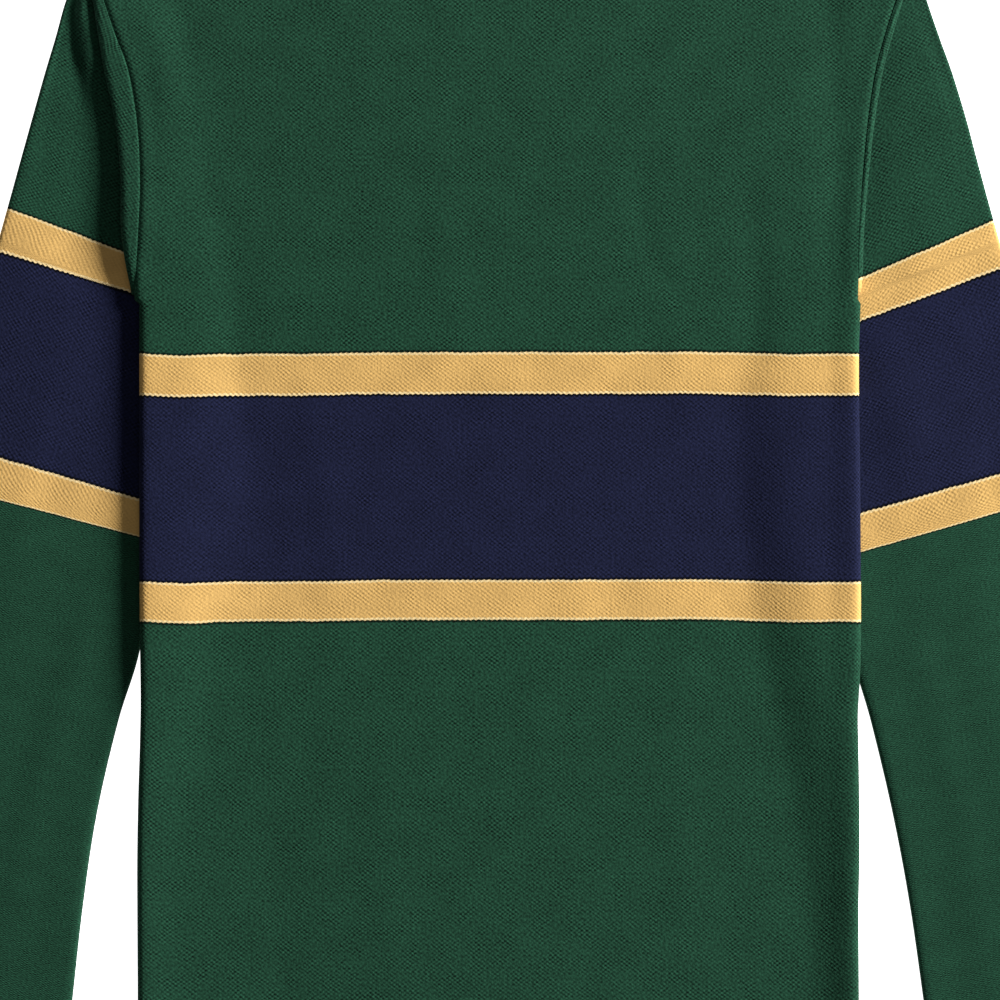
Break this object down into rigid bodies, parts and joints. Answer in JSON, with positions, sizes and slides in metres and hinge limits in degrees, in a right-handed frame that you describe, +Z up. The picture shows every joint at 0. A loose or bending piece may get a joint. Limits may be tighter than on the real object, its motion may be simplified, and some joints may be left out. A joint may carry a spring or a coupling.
{
  "type": "polo shirt",
  "caption": "Long-sleeved polo shirt in heavy pique knit, laid flat face down with its sides tucked under and its sleeves down, with rib collar and cuffs, button placket and chest band.",
  "frame": {"origin": "on the surface the shirt lies on, below the middle of its outline", "axes": "+Z up out of the shirt's back, +Y towards the collar, +X to the right as the back is seen"},
  "size_m": [0.7156, 0.7358, 0.0107],
  "materials": {
    "pique_back": "cotton pique knit",
    "pique_front": "cotton pique knit",
    "pique_sleeves": "cotton pique knit",
    "rib_cuffs": "cotton rib knit",
    "rib_collar": "cotton flat rib knit",
    "placket_bands": "cotton pique knit",
    "buttons": "satin resin"
  },
  "bodies": {
    "root": {"back": "pique_back", "front": "pique_front", "sleeve_left": "pique_sleeves", "sleeve_right": "pique_sleeves", "cuff_left": "rib_cuffs", "cuff_right": "rib_cuffs", "collar": "rib_collar", "placket_overlap": "placket_bands", "placket_underlap": "placket_bands", "button_top": "buttons", "button_middle": "buttons", "button_bottom": "buttons"}
  },
  "joints": []
}
